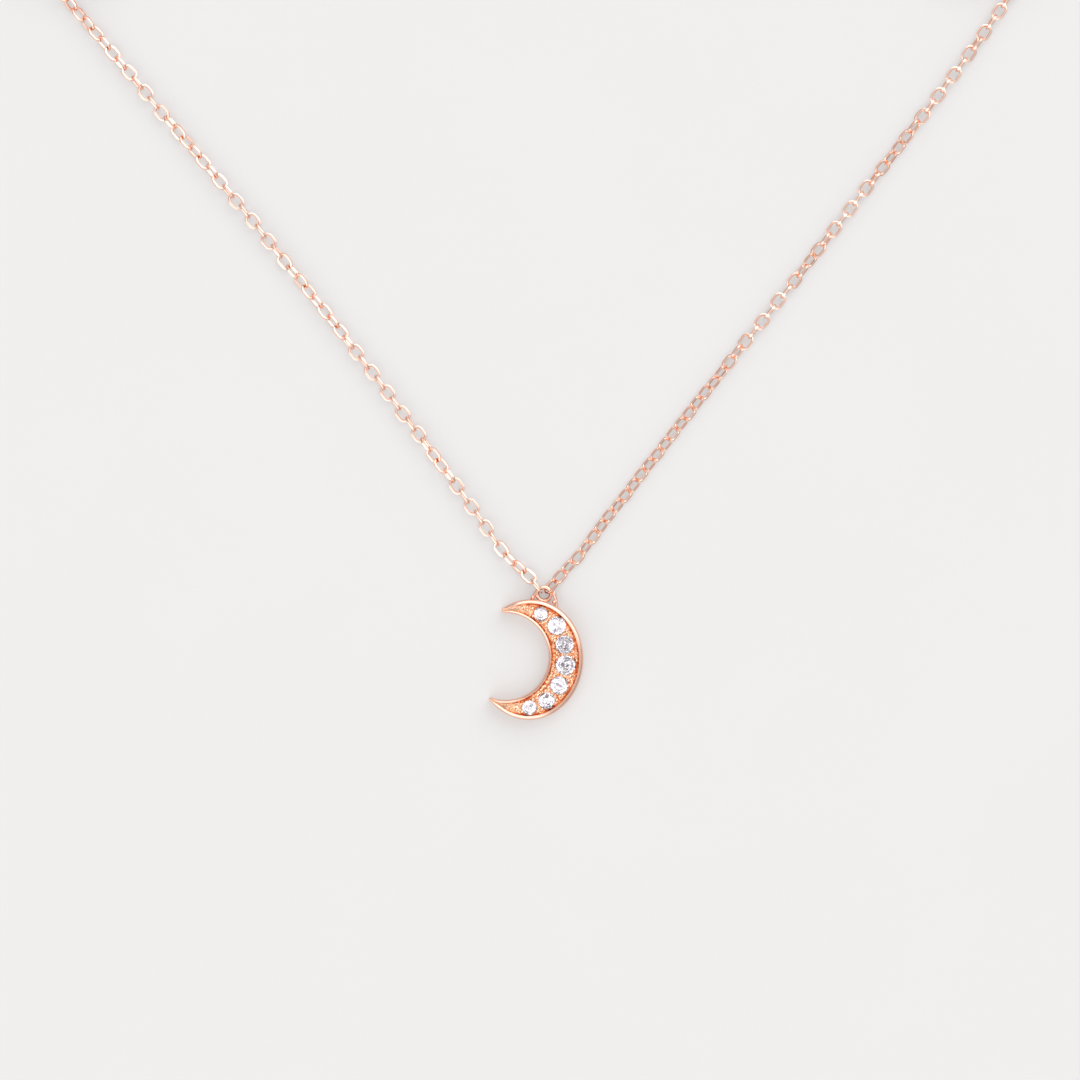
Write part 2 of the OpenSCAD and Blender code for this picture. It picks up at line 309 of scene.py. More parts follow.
# ------------------------------------------------------------------ chain links
def link_template(segs=16, nose=0):
    """verts (mm) and faces of one oval link, long axis X, link plane XY; the wire is filed flat on its outside.
    nose is the end, 1 or -1, whose bend is drawn thinner to run freely on a ring"""
    m = CHAIN_D / 2 - LINK_W
    half = LINK_L / 2 - LINK_W - m
    path = []
    for i in range(segs + 1):
        a = -90 + 180 * i / segs
        path.append(((half + m * cosd(a), m * sind(a)), (cosd(a), sind(a))))
    path.append(((0.0, m), (0.0, 1.0)))
    for i in range(segs + 1):
        a = 90 + 180 * i / segs
        path.append(((-half + m * cosd(a), m * sind(a)), (cosd(a), sind(a))))
    path.append(((0.0, -m), (0.0, -1.0)))
    sec = [(0.104, -0.088), (0.106, 0.0), (0.104, 0.088), (0.092, 0.112), (0.062, 0.128), (0.0, 0.134), (-0.060, 0.122),
           (-0.094, 0.085), (-0.106, 0.0), (-0.094, -0.085), (-0.060, -0.122), (0.0, -0.134), (0.062, -0.128), (0.092, -0.112)]
    verts, faces = [], []
    for (c, n) in path:
        # the flanks are filed a little flatter and the ends are left fuller
        side = abs(n[1])
        for (u, v) in sec:
            uu = u * (1.0 - 0.05 * side) if u > 0 else u
            vv = v * (0.90 + 0.10 * side)
            thin = max(0.0, nose * n[0])
            uu = uu * (1.0 - 0.85 * thin) if u < 0 else uu
            vv *= 1.0 - 0.56 * thin
            verts.append((c[0] + n[0] * uu + 0.05 * nose * thin, c[1] + n[1] * uu, vv))
    ns, np_ = len(sec), len(path)
    # inner flags the faces on the inside of each bend, where the links meet; they take the darker painted joint shade
    inner = []
    for i in range(np_):
        j = (i + 1) % np_
        for k in range(ns):
            l = (k + 1) % ns
            faces.append((i * ns + k, j * ns + k, j * ns + l, i * ns + l))
            inner.append(1 if sec[k][0] < -0.05 and sec[l][0] < -0.05 and abs(path[i][1][1]) < 0.8 else 0)
    return np.array(verts), faces, inner


LV, LF, LINK_SHADE_FACES = link_template()
LV_HOOK = link_template(nose=-1)[0]
LV_TAIL = link_template(nose=1)[0]


def place_links(name, stations, mat, LV=LV):
    """stations: list of (centre, tangent, roll in degrees); one mesh of many separate links"""
    V, F = [], []
    for k, (c, t, roll) in enumerate(stations):
        t = t / np.linalg.norm(t)
        s = np.cross([0, 0, 1.0], t)
        s /= np.linalg.norm(s)
        u = np.cross(t, s)
        cr, sr = cosd(roll), sind(roll)
        y = cr * s + sr * u
        z = -sr * s + cr * u
        base = len(V) * len(LV)
        V.append(c + LV[:, :1] * t + LV[:, 1:2] * y + LV[:, 2:3] * z)
        F.extend([tuple(i + base for i in f) for f in LF])
    V = np.concatenate(V)
    return new_object(name, V, F, [mat, M_CHAIN_JOINT_SHADE], True, LINK_SHADE_FACES * len(stations), 28)


def roll_height(roll):
    """how high the middle of a link lies when it rests on the surface"""
    return (CHAIN_D / 2 - LINK_W) * abs(sind(roll)) + LINK_W


def build_arm(side):
    left = side == "left"
    pts = LEFT if left else RIGHT
    dense, c, end = arm_path(pts, -1 if left else 1, 60 if left else 120, -30 if left else 210, 24, 180)
    P, S = measure(dense)
    total = S[-1]
    inset = LINK_L / 2 - 4 * LINK_W
    n = int(round((total - 2 * inset) / (1.0735 if left else 1.086))) + 1
    pitch = (total - 2 * inset) / (n - 1)
    # slow roll of the chain along its length, degrees against the link's number, as it lies in the picture
    if left:
        ks = [0, 1, 2, 3.5, 5, 9, 11.5, 14, 22, 24, 28, 31, 33, 37, 38.5, 40, 43, 45, 46.5, 48, 50, 53, 56, 70]
        kd = [20, 42, 60, 82, 90, 92, 135, 178, 185, 205, 217, 250, 270, 275, 283, 293, 315, 335, 358, 360, 376, 392, 402, 402]
    else:
        ks = [0, 19, 22, 24, 28, 30, 32, 34, 38, 40, 42.5, 45, 47, 50, 52, 55, 70]
        kd = [38, 42, 65, 90, 95, 120, 150, 178, 185, 205, 225, 255, 270, 272, 285, 275, 270]
    end_d = kd[-1]
    need = (end_d + 90 * (n - 1)) % 180
    end_d += (180 - need) % 180
    ks += [n - 28, n - 1]
    kd += [kd[-1], end_d]
    st = []
    rng = np.random.RandomState(11 if left else 23)
    for k in range(n):
        s = inset + pitch * k
        c0 = station(P, S, s)
        t = station(P, S, s + 0.4) - station(P, S, s - 0.4)
        d = float(np.interp(k, ks, kd))
        jit = rng.uniform(-5, 5) if 0 < k < n - 1 else 0
        roll = 90.0 * k + d + jit
        lat = rng.uniform(-0.03, 0.03) if 0 < k < n - 1 else 0
        tn = t / np.linalg.norm(t)
        sd = np.cross([0, 0, 1.0], tn)
        yaw = rng.uniform(-2.5, 2.5) if 0 < k < n - 1 else 0
        st.append((c0 + lat * sd, tn + sd * math.tan(math.radians(yaw)), roll))
    ob = place_links("chain_%s_links" % side, st, M_CHAIN)
    path, _, _ = arm_path(pts, -1 if left else 1, 60 if left else 120, -30 if left else 210, 2, 16)
    return ob, path, total, end


chains = {}
for side in ("left", "right"):
    ob, path, total, end = build_arm(side)
    body = side + "_arm"
    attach(ob, body)
    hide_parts("chain_%s" % side, "chain_%s_coil" % side, "chain_%s_tail" % side)
    chains[side] = (ob, path, total, end)
    print("chain", side, "length mm", round(total, 2), "points", len(path), "end", end)

# end links and tail links, each its own piece
def hook_link(name, hx, hy, z, direction, body, node, roll):
    t = np.array([cosd(direction), sind(direction), 0.0])
    c = np.array([hx, hy, z]) + t * (LINK_L / 2 - LINK_W - (LINK_W + EYE_W + 0.02))
    ob = place_links(name, [(c, t, roll)], M_CHAIN, LV_HOOK)
    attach(ob, body)
    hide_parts(node)
    return ob


lh = (EYE[0] + EYE_R * cosd(137), EYE[1] + EYE_R * sind(137))
rh = (EYE[0] + EYE_R * cosd(47), EYE[1] + EYE_R * sind(47))
end_l = hook_link("left_end_link_polished", lh[0], lh[1], EYE[2], 127, "left_arm", "left_end_link", 90.0)
end_r = hook_link("right_end_link_polished", rh[0], rh[1], EYE[2], 48, "right_arm", "right_end_link", 128.0)


def tail_link(name, end, head, body, node):
    t = np.array([cosd(head), sind(head), 0.0])
    c = np.array([end[0], end[1], CZ]) + t * LINK_L / 2
    ob = place_links(name, [(c, t, 90.0)], M_CHAIN, LV_TAIL)
    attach(ob, body)
    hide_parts(node)
    return ob


tail_l = tail_link("left_tail_link_polished", chains["left"][3], -30, "left_arm", "left_tail_link")
tail_r = tail_link("right_tail_link_polished", chains["right"][3], 210, "right_arm", "right_tail_link")

# ------------------------------------------------------------------ wires and rings
def tube(points, radii, seg=24, closed=False, cap=True):
    """verts, faces of a round tube along 3-D points, mm"""
    P = [np.array(p, float) for p in points]
    n = len(P)
    V, F = [], []
    up = np.array([0, 0, 1.0])
    prev = None
    for i in range(n):
        a = P[(i - 1) % n] if (closed or i > 0) else P[i]
        b = P[(i + 1) % n] if (closed or i < n - 1) else P[i]
        t = b - a
        t /= np.linalg.norm(t)
        if prev is None:
            ref = up if abs(t[2]) < 0.9 else np.array([1.0, 0, 0])
            s = np.cross(t, ref)
        else:
            s = prev - t * prev.dot(t)
        s /= np.linalg.norm(s)
        prev = s
        u = np.cross(t, s)
        r = radii[i] if hasattr(radii, "__len__") else radii
        for k in range(seg):
            a_ = 2 * PI * k / seg
            V.append(P[i] + r * (math.cos(a_) * s + math.sin(a_) * u))
    m = n if closed else n - 1
    for i in range(m):
        j = (i + 1) % n
        for k in range(seg):
            l = (k + 1) % seg
            F.append((i * seg + k, i * seg + l, j * seg + l, j * seg + k))
    if cap and not closed:
        F.append(tuple(range(seg - 1, -1, -1)))
        F.append(tuple((n - 1) * seg + k for k in range(seg)))
    return V, F


def ring(name, centre, r, w, mat, body, node, tilt=None, seg=96, sec=28, dent=0.0, seed=1, inner=None):
    """a round wire ring with a faint closing seam and hand-made unevenness"""
    V, F = [], []
    M = tilt or Matrix.Identity(3)
    for i in range(seg):
        a = 2 * PI * i / seg
        wob = dent * noise.noise(Vector((math.cos(a) * 1.7 + seed, math.sin(a) * 1.7, 0.3)))
        # seam: a very narrow groove where the wire's ends meet
        seam = 0.06 * math.exp(-((a - 4.1) / 0.035) ** 2)
        for k in range(sec):
            b = 2 * PI * k / sec
            rr = r + wob
            ww = w * (1 - seam)
            p = Vector(((rr + ww * math.cos(b)) * math.cos(a), (rr + ww * math.cos(b)) * math.sin(a), ww * math.sin(b)))
            p = M @ p
            V.append((centre[0] + p.x, centre[1] + p.y, centre[2] + p.z))
    for i in range(seg):
        j = (i + 1) % seg
        for k in range(sec):
            l = (k + 1) % sec
            F.append((i * sec + k, j * sec + k, j * sec + l, i * sec + l))
    if inner is None:
        ob = new_object(name, V, F, [mat], True)
    else:
        # faces on the ring's inside, facing its centre, take the second material; for the hanging ring that is its
        # painted shade
        ob = new_object(name, V, F, [mat, inner], True,
                        [1 if math.cos(2 * PI * (k + 0.5) / sec) < -0.45 else 0 for i in range(seg) for k in range(sec)])
    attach(ob, body)
    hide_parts(node)
    return ob


ring("hanging_ring_wire", EYE, EYE_R, EYE_W, M_RIM, "pendant", "hanging_ring", None, 96, 28, 0.01, 3, M_RING_PAINTED_SHADE)

def solder_shoulders():
    """two short wires, each with a bead of solder on the crescent's edge, fused smooth"""
    V, F = [], []
    def add(v, f):
        b = len(V)
        V.extend(v)
        F.extend([tuple(i + b for i in q) for q in f])
    for foot, top, bead in (((-0.44, 4.30), (0.06, 5.16), (-0.34, 4.58)), ((1.66, 3.74), (1.44, 5.04), (1.46, 4.20))):
        pts, rad = [], []
        for i in range(13):
            t = i / 12
            bow = 0.05 * math.sin(PI * t) * (-1 if foot[0] < 0 else 1)
            pts.append((lerp(foot[0], top[0], t) + bow, lerp(foot[1], top[1], t), EYE[2]))
            rad.append(0.165 - 0.02 * math.sin(PI * min(1, t * 1.1)))
        add(*tube(pts, rad, 16))
        for (c, r) in (((top[0], top[1], EYE[2]), 0.155), ((bead[0], bead[1], EYE[2] + 0.12), 0.18)):
            bm = bmesh.new()
            bmesh.ops.create_icosphere(bm, subdivisions=3, radius=r)
            v = [(p.co.x + c[0], p.co.y + c[1], p.co.z + c[2]) for p in bm.verts]
            f = [tuple(x.index for x in q.verts) for q in bm.faces]
            bm.free()
            add(v, f)
    ob = new_object("ring_shoulders_solder", V, F, [M_RIM], True)
    rm = ob.modifiers.new("fuse", "REMESH")
    rm.mode = "VOXEL"
    rm.voxel_size = 0.022 * MM
    rm.use_smooth_shade = True
    sm = ob.modifiers.new("flow", "SMOOTH")
    sm.factor = 0.5
    sm.iterations = 6
    apply_all(ob)
    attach(ob, "pendant")
    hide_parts("ring_shoulders")
    return ob


solder_shoulders()

# ------------------------------------------------------------------ the crescent
OA, OB_, LEAN = 4.454, 5.025, -4
OC = np.array([-0.558, -0.575])
IC = np.array([-2.625, -0.325])
IR = 3.62
BODY_H, BED_Z, GIRDLE = 1.5, 1.12, 1.22
TIP_HI, TIP_LO = 122.8, -134.0
STONES = [(0.35, 3.22, 1.20), (1.68, 2.24, 1.57), (2.34, 0.66, 1.57), (2.41, -1.03, 1.70),
          (1.88, -2.73, 1.53), (0.83, -4.00, 1.43), (-0.60, -4.58, 1.24)]
BEAD_OFF = [0.54, 0.635, 0.70, 0.645, 0.61, 0.53]
TIP_BEADS = [(-0.34, 3.72), (-0.30, 3.06), (-0.78, 3.80), (-1.22, 3.72),
             (-1.30, -4.28), (-1.22, -4.90), (-1.68, -4.78), (-2.14, -4.66)]


def oval(t):
    u, v = OA * cosd(t), OB_ * sind(t)
    return OC + np.array([u * cosd(LEAN) - v * sind(LEAN), u * sind(LEAN) + v * cosd(LEAN)])


def inner_near(p):
    d = p - IC
    return IC + IR * d / np.linalg.norm(d)


def moon_sections(n=640, cap=26):
    """pairs (outer point, inner point) from the lower tip to the upper tip, tips closed by round caps"""
    pairs = []
    ts = np.linspace(TIP_LO, TIP_HI, n)
    def cap_pairs(t, at_start):
        p = oval(t)
        q = inner_near(p)
        c, r = (p + q) / 2, np.linalg.norm(p - q) / 2
        ax = (p - q) / (2 * r)
        ahead = np.array([ax[1], -ax[0]])
        ref = oval(t + (1 if at_start else -1)) - p
        if ahead.dot(ref) > 0:
            ahead = -ahead
        out = []
        for i in range(1, cap + 1):
            a = 90.0 * i / cap
            a = min(a, 89.2)
            out.append((c + r * (ax * cosd(a) + ahead * sind(a)), c + r * (-ax * cosd(a) + ahead * sind(a))))
        return out
    pairs.extend(reversed(cap_pairs(TIP_LO, True)))
    for t in ts:
        p = oval(t)
        pairs.append((p, inner_near(p)))
    pairs.extend(cap_pairs(TIP_HI, False))
    return pairs


# distance from the edge, height: the polished half-round rims
RIM_OUT = [(0.0, 0.90), (0.006, 1.10), (0.015, 1.22), (0.032, 1.30), (0.062, 1.355), (0.10, 1.40), (0.15, 1.44),
           (0.21, 1.475), (0.27, 1.495), (0.31, 1.50), (0.345, 1.49), (0.366, 1.45), (0.380, 1.37), (0.388, 1.20)]
RIM_IN = [(0.0, 0.98), (0.005, 1.16), (0.013, 1.27), (0.028, 1.335), (0.050, 1.385), (0.082, 1.43), (0.120, 1.465),
          (0.160, 1.49), (0.195, 1.50), (0.225, 1.488), (0.243, 1.44), (0.254, 1.36), (0.260, 1.20)]


def grains():
    out = []
    for i in range(6):
        a, b = STONES[i], STONES[i + 1]
        p, q = np.array(a[:2]), np.array(b[:2])
        d = q - p
        L = np.linalg.norm(d)
        u = d / L
        g = L - a[2] / 2 - b[2] / 2
        m = p + u * (a[2] / 2 + g / 2)
        side = np.array([u[1], -u[0]])
        for n in (-1, 1):
            for k in (-1, 1):
                out.append(m + n * BEAD_OFF[i] * side + k * 0.19 * u)
    out += [np.array(t) for t in TIP_BEADS]
    return out


GRAINS = grains()


CUT_RNG = np.random.RandomState(41)
CUT = 0.23
CUT_J = CUT_RNG.uniform(-0.42, 0.42, (60, 60, 2))
CUT_T = CUT_RNG.uniform(-0.50, 0.50, (60, 60, 2))
CUT_H = CUT_RNG.uniform(-0.02, 0.02, (60, 60))


def cut_facets(x, y):
    """the bed is worked with a graver: small flats, each tilted its own way"""
    gx, gy = x / CUT, y / CUT
    ix, iy = int(math.floor(gx)), int(math.floor(gy))
    best = None
    for a in (-1, 0, 1):
        for c in (-1, 0, 1):
            i, j = (ix + a + 30) % 60, (iy + c + 30) % 60
            px, py = (ix + a + 0.5 + CUT_J[i, j, 0]) * CUT, (iy + c + 0.5 + CUT_J[i, j, 1]) * CUT
            q = (x - px) ** 2 + (y - py) ** 2
            if best is None or q < best[0]:
                best = (q, px, py, i, j)
    q, px, py, i, j = best
    return CUT_H[i, j] + CUT_T[i, j, 0] * (x - px) + CUT_T[i, j, 1] * (y - py)


def bed_height(x, y, room, amp):
    """height of the cut bed; room is the distance to the nearer rim wall, amp how deeply it is cut"""
    h = BED_Z
    # hand-cut surface: small facets and strokes across the bed
    f = noise.noise(Vector((x * 5.5, y * 5.5, 1.7))) * 0.02 + noise.noise(Vector((x * 13, y * 13, 4.1))) * 0.012
    h += f + cut_facets(x, y) * amp
    # the cutter leaves a groove beside each rim
    h -= 0.13 * amp * math.exp(-(room / 0.085) ** 2)
    for (sx, sy, d) in STONES:
        r = math.hypot(x - sx, y - sy)
        R = d / 2
        if r < R + 0.30:
            # metal is pushed up against the stone, then falls away below its girdle
            h += 0.10 * math.exp(-((r - R - 0.01) / 0.07) ** 2)
            if r < R - 0.012:
                wall = GIRDLE - 0.03 - 0.92 * (R - 0.012 - r)
                h = min(h, max(wall, 0.34))
    for g in GRAINS:
        r = math.hypot(x - g[0], y - g[1])
        if r < 0.26:
            h += 0.05 * math.exp(-(r / 0.12) ** 2)
    return h


def build_moon():
    pairs = moon_sections()
    bed_rows = 60
    nro, nri = len(RIM_OUT), len(RIM_IN)
    rows_top = nro + bed_rows + nri
    V, F, FM = [], [], []
    side_z = [0.72, 0.5, 0.28, 0.13, 0.06, 0.02]
    side_in = [0.0, 0.0, 0.0, 0.012, 0.035, 0.075]
    back_rows = 24
    ring_n = None
    for (po, pi) in pairs:
        w = np.linalg.norm(po - pi)
        d = (pi - po) / max(w, 1e-6)
        k = min(1.0, w / 0.86)
        kh = min(1.0, w / 0.62)
        loop = []
        # outer rim, from the outer edge inwards
        wo = RIM_OUT[-1][0] * k
        wi = RIM_IN[-1][0] * k
        open_bed = w - wo - wi
        deep = smooth((w - 0.62) / 0.75)
        def zfix(z):
            # near the tips the rims close on each other and lie a little lower
            top = BODY_H - 0.10 * (1 - smooth(w / 1.2))
            return z - (BODY_H - top) * smooth((z - 0.6) / 0.5)
        for (e, z) in RIM_OUT:
            zz = zfix(z)
            if e > 0.35:
                zz = lerp(zfix(1.46), zz, deep)
            p = po + d * e * k
            # material 3, the darker side copy, paints shade on the rims' steep edges; the walls and end fans take it
            # too
            loop.append((p[0], p[1], zz, 3 if e < 0.033 else (0 if e < 0.36 else 1)))
        for j in range(bed_rows):
            t = (j + 0.5) / bed_rows
            e = wo + open_bed * t
            p = po + d * e
            room = min(e - wo, w - wi - e)
            z = bed_height(p[0], p[1], room, 0.30 + 0.70 * smooth((w - 1.25) / 0.75))
            z = lerp(zfix(1.45), z, deep)
            loop.append((p[0], p[1], z, 1))
        for (e, z) in reversed(RIM_IN):
            zz = zfix(z)
            if e > 0.235:
                zz = lerp(zfix(1.46), zz, deep)
            p = pi - d * e * k
            loop.append((p[0], p[1], zz, 3 if e < 0.029 else (0 if e < 0.24 else 1)))
        # down the inner wall, across the back, up the outer wall
        for (z, e) in zip(side_z, side_in):
            p = pi - d * min(e, w * 0.3)
            loop.append((p[0], p[1], z, 3))
        for j in range(back_rows):
            t = (j + 1) / (back_rows + 1)
            e0 = min(0.11, w * 0.35)
            p = (pi - d * e0) * (1 - t) + (po + d * e0) * t
            z = 0.0
            for (sx, sy, dd) in STONES:
                r = math.hypot(p[0] - sx, p[1] - sy)
                z = max(z, 0.30 * (1 - smooth((r - 0.20 * dd) / 0.10)))
            loop.append((p[0], p[1], z, 2))
        for (z, e) in reversed(list(zip(side_z, side_in))):
            p = po + d * min(e, w * 0.3)
            loop.append((p[0], p[1], z, 3))
        ring_n = len(loop)
        V.extend([(a, b, c) for (a, b, c, m) in loop])
        mats = [m for (a, b, c, m) in loop]
    n = len(pairs)
    for i in range(n - 1):
        for k in range(ring_n):
            l = (k + 1) % ring_n
            F.append((i * ring_n + k, i * ring_n + l, (i + 1) * ring_n + l, (i + 1) * ring_n + k))
            FM.append(max(mats[k], mats[l]) if 0 in (mats[k], mats[l]) and {mats[k], mats[l]} != {0, 2} else (mats[k] if mats[k] == mats[l] else 0))
    # close the two ends with a fan
    for i in (0, n - 1):
        c = len(V)
        pts = np.array(V[i * ring_n:(i + 1) * ring_n])
        V.append(tuple(pts.mean(axis=0)))
        for k in range(ring_n):
            l = (k + 1) % ring_n
            F.append((c, i * ring_n + l, i * ring_n + k) if i == 0 else (c, i * ring_n + k, i * ring_n + l))
            FM.append(3)
    ob = new_object("crescent_setting", V, F, [M_RIM, M_BED_PAINTED_SHADE, M_BACK, M_SIDE_PAINTED_SHADE], True, FM, 50)
    bm = bmesh.new()
    bm.from_mesh(ob.data)
    bmesh.ops.recalc_face_normals(bm, faces=bm.faces)
    bm.to_mesh(ob.data)
    bm.free()
    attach(ob, "pendant")
    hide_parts("moon_setting")
    return ob


build_moon()


# ------------------------------------------------------------------ grain beads
def build_grains():
    bm = bmesh.new()
    rng = np.random.RandomState(5)
    for i, g in enumerate(GRAINS):
        r = 0.136 * (1 + rng.uniform(-0.12, 0.12))
        a = rng.uniform(0, 2 * PI)
        sc = Matrix.Rotation(a, 4, "Z") @ Matrix.Diagonal((1 + rng.uniform(0, 0.12), 1 - rng.uniform(0, 0.08), 0.95, 1))
        loc = Matrix.Translation((g[0], g[1], BED_Z + 0.09))
        bmesh.ops.create_icosphere(bm, subdivisions=3, radius=r, matrix=loc @ sc)
    V = [tuple(v.co) for v in bm.verts]
    F = [tuple(v.index for v in f.verts) for f in bm.faces]
    bm.free()
    ob = new_object("grain_beads_polished", V, F, [M_BEAD], True)
    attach(ob, "pendant")
    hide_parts("grain_beads")
    return ob


build_grains()


# ------------------------------------------------------------------ brilliants
def brilliant(name, x, y, d, turn, node, tip=(0.0, 0.0)):
    """57-facet round brilliant: table, 8 stars, 8 kites, 16 upper halves, girdle, 16 lower halves, 8 mains, culet"""
    R = d / 2
    crown = 0.145 * d
    gird = 0.012 * d
    V, F = [], []
    def ringv(n, r, z, off=0.0):
        b = len(V)
        for i in range(n):
            a = 2 * PI * (i + off) / n
            V.append((r * math.cos(a), r * math.sin(a), z))
        return b
    zt = gird + crown
    rt = 0.56 * R
    T = ringv(8, rt / math.cos(PI / 8), zt, 0.5)             # table corners
    # kite middles, between table corners and girdle
    rs = 0.775 * R
    zs = gird + crown * (R - rs) / (R - rt) * 1.02
    K = ringv(8, rs, zs, 0.0)                                 # star tips
    G1 = ringv(16, R, gird, 0.0)
    G2 = ringv(16, R, -gird, 0.0)
    # pavilion
    pav = 0.43 * d
    rl = 0.22 * R
    zl = -gird - pav * (1 - rl / R) * 1.0
    rlow = 0.30 * R
    Lw = ringv(8, rlow, -gird - (pav - gird) * (1 - rlow / R) * 0.985, 0.5)
    C = len(V)
    V.append((0, 0, -gird - pav * 0.985))
    F.append(tuple(T + i for i in range(8)))
    for i in range(8):
        # table corner i lies at angle (i+.5)/8, star tip i at i/8
        F.append((T + i, T + (i - 1) % 8, K + i))                                    # star
        g = 2 * i
        F.append((T + i, K + i, G1 + g + 1, K + (i + 1) % 8))                         # kite from table corner to girdle
        F.append((K + i, G1 + g, G1 + g + 1))                                        # upper halves
        F.append((K + (i + 1) % 8, G1 + g + 1, G1 + (g + 2) % 16))
    for i in range(16):
        j = (i + 1) % 16
        F.append((G1 + i, G2 + i, G2 + j, G1 + j))
    for i in range(8):
        g = 2 * i
        F.append((Lw + i, G2 + g + 1, G2 + g))
        F.append((Lw + i, G2 + (g + 2) % 16, G2 + g + 1))
        # pavilion main: girdle point g, lower points i-1 and i, culet
        F.append((C, Lw + (i - 1) % 8, G2 + g, Lw + i))
    M = Matrix.Translation((x, y, GIRDLE)) @ Matrix.Rotation(math.radians(tip[0]), 4, "X") @ \
        Matrix.Rotation(math.radians(tip[1]), 4, "Y") @ Matrix.Rotation(math.radians(turn), 4, "Z")
    V = [tuple(M @ Vector(v)) for v in V]
    # girdle and pavilion faces take the pavilion material with its painted reflections and glow
    ob = new_object(name, V, F, [M_STONE, M_PAV_PAINTED_SPARKLE], False, [0] * 33 + [1] * (len(F) - 33))
    bm = bmesh.new()
    bm.from_mesh(ob.data)
    bmesh.ops.recalc_face_normals(bm, faces=bm.faces)
    bm.to_mesh(ob.data)
    bm.free()
    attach(ob, "pendant")
    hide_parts(node)
    return ob


TURNS = [11, 31, 4, 22, 37, 15, 28]
TIPS = [(1.2, -0.8), (-0.6, 1.0), (0.5, 0.9), (-1.0, -0.4), (0.8, 0.6), (-0.5, -1.1), (1.0, 0.4)]
for i, (sx, sy, d) in enumerate(STONES):
    brilliant("brilliant_%d" % (i + 1), sx, sy, d - 0.02, TURNS[i], "stone_%d" % (i + 1), TIPS[i])

# ------------------------------------------------------------------ clasp
LH = np.array([cosd(-30), sind(-30)])
RH = np.array([cosd(210), sind(210)])
L_END = np.array(chains["left"][3])
R_END = np.array(chains["right"][3])
RW, JR, JZ, LR, LW_ = 0.20, 0.95, 0.585, 0.72, 0.16
S_HOOK = LINK_L - LINK_W - (LINK_W + RW + 0.03)
S_JUMP = S_HOOK + JR
S_SWING = S_HOOK + 2 * JR
S_LOOP = S_SWING + 0.10
CR, CT, TR, TG = 2.25, 0.475, 0.29, 0.04
S_CLASP = S_LOOP + CR + CT + 0.661
CATCH_R, CATCH_W = 1.25, 0.25
S_CATCH = LINK_L - LINK_W - (LINK_W + CATCH_W + 0.03)
CATCH_TILT = math.asin(0.28 / (2 * CATCH_R))

jp = L_END + LH * S_JUMP
jump = ring("clasp_jump_ring_wire", (jp[0], jp[1], JZ), JR, RW, M_CLASP, "clasp_link", "clasp_jump_ring", None, 96, 28, 0.012, 7)
lp = L_END + LH * S_LOOP
m_loop = Matrix.Rotation(math.radians(-30), 3, "Z") @ Matrix.Rotation(math.radians(90), 3, "X")
loop = ring("clasp_tail_loop_wire", (lp[0], lp[1], LR + LW_), LR, LW_, M_CLASP, "clasp", "clasp_tail_loop", m_loop, 80, 24, 0.0, 9)
cp = L_END + LH * S_CLASP
q = R_END + RH * S_CATCH
m_catch = Matrix.Rotation(math.radians(210), 3, "Z") @ Matrix.Rotation(CATCH_TILT, 3, "Y")
cc = m_catch @ Vector((CATCH_R, 0, 0))
catch = ring("catch_ring_wire", (q[0] + cc.x, q[1] + cc.y, 0.28 + CATCH_W + cc.z), CATCH_R, CATCH_W, M_CLASP, "catch",
             "catch_ring", m_catch, 110, 30, 0.012, 13)


def arc_points(r, a0, a1, n):
    return [(cp[0] + r * cosd(-30 + a0 + (a1 - a0) * i / n), cp[1] + r * sind(-30 + a0 + (a1 - a0) * i / n), CT)
            for i in range(n + 1)]


def swept(sections):
    """closed surface of revolution about the clasp's axis from (angle, list of (radial, z)) sections"""
    V, F = [], []
    n = len(sections[0][1])
    for (a, sec) in sections:
        for (u, v) in sec:
            V.append((cp[0] + u * cosd(a - 30), cp[1] + u * sind(a - 30), v))
    for i in range(len(sections) - 1):
        for k in range(n):
            l = (k + 1) % n
            F.append((i * n + k, i * n + l, (i + 1) * n + l, (i + 1) * n + k))
    F.append(tuple(range(n - 1, -1, -1)))
    F.append(tuple((len(sections) - 1) * n + k for k in range(n)))
    return V, F


def circ(r, n=36):
    return [(CR + r * math.cos(2 * PI * k / n), CT + r * math.sin(2 * PI * k / n)) for k in range(n)]


def rounded_arc(r, a0, a1, n, soft=0.06):
    """arc rod with softly rounded ends"""
    sec = []
    da = math.degrees(soft / CR)
    for i in range(7):
        t = i / 6
        sec.append((a0 + da * t, circ(r - soft * (1 - math.sin(PI / 2 * t)))))
    for i in range(1, n):
        sec.append((a0 + da + (a1 - a0 - 2 * da) * i / n, circ(r)))
    for i in range(7):
        t = i / 6
        sec.append((a1 - da + da * t, circ(r - soft * (1 - math.cos(PI / 2 * t)))))
    return swept(sec)


def solid(name, vf):
    ob = new_object(name, vf[0], vf[1], [M_CLASP], True)
    bm = bmesh.new()
    bm.from_mesh(ob.data)
    bmesh.ops.recalc_face_normals(bm, faces=bm.faces)
    bm.to_mesh(ob.data)
    bm.free()
    return ob


